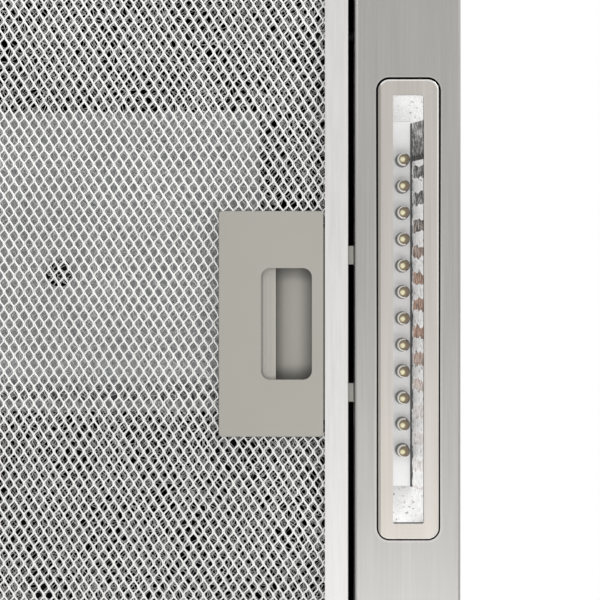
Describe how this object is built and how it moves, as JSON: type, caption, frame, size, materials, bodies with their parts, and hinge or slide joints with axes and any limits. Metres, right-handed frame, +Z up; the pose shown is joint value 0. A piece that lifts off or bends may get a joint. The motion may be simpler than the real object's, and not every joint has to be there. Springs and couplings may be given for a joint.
{
  "type": "under cabinet range hood",
  "caption": "Low sheet-metal kitchen hood with a sloped front, mesh grease filters on slotted tabs, slim lamps, push buttons and an enclosed blower with a damper outlet.",
  "frame": {"origin": "middle of the four cabinet screw holes, on the flat top face", "axes": "+Z up, out of the top face into the cabinet; +Y to the wall behind; +X along the hood's width"},
  "size_m": [0.75, 0.5048, 0.1637],
  "materials": {
    "shell_steel": "brushed, grain along the edge",
    "rail_steel": "brushed",
    "galvanised": "galvanised sheet, dull",
    "fastener_steel": "zinc plated",
    "shaft_steel": "ground steel",
    "bezel_metal": "satin champagne",
    "clear_lens": "clear, glossy",
    "reflector": "bright creased foil",
    "board": "white printed board",
    "led_resin": "clear warm resin",
    "motor_metal": "grey enamel",
    "iron_core": "dark laminations",
    "panel_plastic": "satin dark",
    "black_plastic": "matt black",
    "button_plastic": "satin silver",
    "cable_rubber": "matt black",
    "filter_aluminium": "satin",
    "mesh_aluminium": "expanded mesh, bright",
    "latch_plastic": "satin grey moulding"
  },
  "bodies": {
    "hood_body": {"left_side_panel": "shell_steel", "right_side_panel": "shell_steel", "canopy": "shell_steel", "back_panel": "galvanised", "rear_duct_cover": "galvanised", "corner_plates": "galvanised", "centre_rail": "rail_steel", "screws": "fastener_steel", "rivets": "fastener_steel", "lamp_bezels": "bezel_metal", "lamp_lenses": "clear_lens", "lamp_trays": "reflector", "lamp_boards": "board", "lamp_leds": "led_resin", "blower_casing": "galvanised", "casing_ends": "galvanised", "motor_housing": "motor_metal", "motor_stator": "iron_core", "motor_cradle": "galvanised", "duct_collar": "galvanised", "damper_rod": "shaft_steel", "control_panel": "panel_plastic", "switch_block": "black_plastic", "wiring_box": "galvanised", "led_driver": "black_plastic", "capacitor": "black_plastic", "wire_joints": "black_plastic", "lamp_cables": "cable_rubber", "motor_cable": "cable_rubber", "control_cable": "cable_rubber", "casing_grommet": "cable_rubber"},
    "left_filter": {"left_filter_frame": "filter_aluminium", "left_face_mesh": "mesh_aluminium", "left_inner_mesh": "mesh_aluminium", "left_back_mesh": "mesh_aluminium", "left_latch_body": "latch_plastic", "left_latch_cover": "latch_plastic", "left_latch_springs": "shaft_steel"},
    "left_latch": {"left_latch_slider": "latch_plastic"},
    "right_filter": {"right_filter_frame": "filter_aluminium", "right_face_mesh": "mesh_aluminium", "right_inner_mesh": "mesh_aluminium", "right_back_mesh": "mesh_aluminium", "right_latch_body": "latch_plastic", "right_latch_cover": "latch_plastic", "right_latch_springs": "shaft_steel"},
    "right_latch": {"right_latch_slider": "latch_plastic"},
    "rotor": {"shaft": "shaft_steel", "set_screws": "fastener_steel", "motor_rotor": "iron_core", "left_wheel": "galvanised", "right_wheel": "galvanised"},
    "front_damper": {"front_flap": "galvanised"},
    "rear_damper": {"rear_flap": "galvanised"},
    "button_light": {"button_light": "button_plastic"},
    "button_off": {"button_off": "button_plastic"},
    "button_low": {"button_low": "button_plastic"},
    "button_medium": {"button_medium": "button_plastic"},
    "button_high": {"button_high": "button_plastic"}
  },
  "joints": [
    {"name": "left_filter_swing", "type": "hinge", "parent": "hood_body", "child": "left_filter", "pos_m": [-0.0086, -0.07, -0.1279], "axis": [0, -1, 0], "range_deg": [0, 60]},
    {"name": "left_latch_pull", "type": "slide", "parent": "left_filter", "child": "left_latch", "axis": [1, 0, 0], "range_m": [0, 0.005], "stiffness_N_per_m": 300, "springref_m": -0.003, "deforming": ["left_latch_springs"]},
    {"name": "right_filter_swing", "type": "hinge", "parent": "hood_body", "child": "right_filter", "pos_m": [0.0086, -0.07, -0.1279], "axis": [0, 1, 0], "range_deg": [0, 60]},
    {"name": "right_latch_pull", "type": "slide", "parent": "right_filter", "child": "right_latch", "axis": [-1, 0, 0], "range_m": [0, 0.005], "stiffness_N_per_m": 300, "springref_m": -0.003, "deforming": ["right_latch_springs"]},
    {"name": "blower_spin", "type": "hinge", "parent": "hood_body", "child": "rotor", "pos_m": [0, -0.0474, -0.058], "axis": [1, 0, 0], "continuous": true},
    {"name": "front_damper_lift", "type": "hinge", "parent": "hood_body", "child": "front_damper", "pos_m": [0, -0.0415, 0.008], "axis": [-1, 0, 0], "range_deg": [0, 78]},
    {"name": "rear_damper_lift", "type": "hinge", "parent": "hood_body", "child": "rear_damper", "pos_m": [0, -0.0415, 0.008], "axis": [1, 0, 0], "range_deg": [0, 78]},
    {"name": "light_press", "type": "slide", "parent": "hood_body", "child": "button_light", "axis": [0, 1, 0], "range_m": [0, 0.003], "stiffness_N_per_m": 300, "springref_m": -0.0015},
    {"name": "off_press", "type": "slide", "parent": "hood_body", "child": "button_off", "axis": [0, 1, 0], "range_m": [0, 0.003], "stiffness_N_per_m": 300, "springref_m": -0.0015},
    {"name": "low_press", "type": "slide", "parent": "hood_body", "child": "button_low", "axis": [0, 1, 0], "range_m": [0, 0.003], "stiffness_N_per_m": 300, "springref_m": -0.0015},
    {"name": "medium_press", "type": "slide", "parent": "hood_body", "child": "button_medium", "axis": [0, 1, 0], "range_m": [0, 0.003], "stiffness_N_per_m": 300, "springref_m": -0.0015},
    {"name": "high_press", "type": "slide", "parent": "hood_body", "child": "button_high", "axis": [0, 1, 0], "range_m": [0, 0.003], "stiffness_N_per_m": 300, "springref_m": -0.0015}
  ]
}
